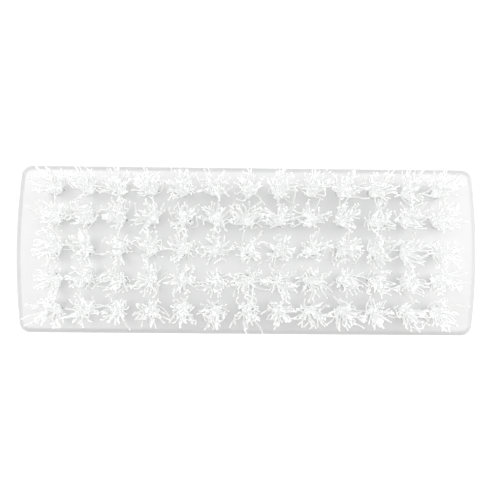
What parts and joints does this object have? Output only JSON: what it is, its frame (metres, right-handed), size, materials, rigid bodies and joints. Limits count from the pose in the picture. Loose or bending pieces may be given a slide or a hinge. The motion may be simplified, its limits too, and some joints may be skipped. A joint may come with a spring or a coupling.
{
  "type": "hand scrubbing brush",
  "caption": "Hand-held scrubbing brush: a one-piece plastic block with a finger groove round its sides and stapled tufts of stiff nylon filament.",
  "frame": {"origin": "centre of the flat back of the block, which lies on z = 0", "axes": "+X along the length of the block, +Y across it, +Z out of the back towards the bristle tips"},
  "size_m": [0.12, 0.0434, 0.041],
  "materials": {
    "block_plastic": "smooth white moulded polypropylene, slightly glossy",
    "bristle_nylon": "milky translucent nylon filament, straight and stiff",
    "staple_wire": "bright flat galvanised wire"
  },
  "bodies": {
    "root": {"block": "block_plastic", "tuft_row_01": "bristle_nylon", "tuft_row_02": "bristle_nylon", "tuft_row_03": "bristle_nylon", "tuft_row_04": "bristle_nylon", "tuft_row_05": "bristle_nylon", "tuft_row_06": "bristle_nylon", "tuft_row_07": "bristle_nylon", "tuft_row_08": "bristle_nylon", "tuft_row_09": "bristle_nylon", "tuft_row_10": "bristle_nylon", "tuft_row_11": "bristle_nylon", "tuft_row_12": "bristle_nylon", "tuft_row_13": "bristle_nylon", "staple_row_01": "staple_wire", "staple_row_02": "staple_wire", "staple_row_03": "staple_wire", "staple_row_04": "staple_wire", "staple_row_05": "staple_wire", "staple_row_06": "staple_wire", "staple_row_07": "staple_wire", "staple_row_08": "staple_wire", "staple_row_09": "staple_wire", "staple_row_10": "staple_wire", "staple_row_11": "staple_wire", "staple_row_12": "staple_wire", "staple_row_13": "staple_wire"}
  },
  "joints": []
}
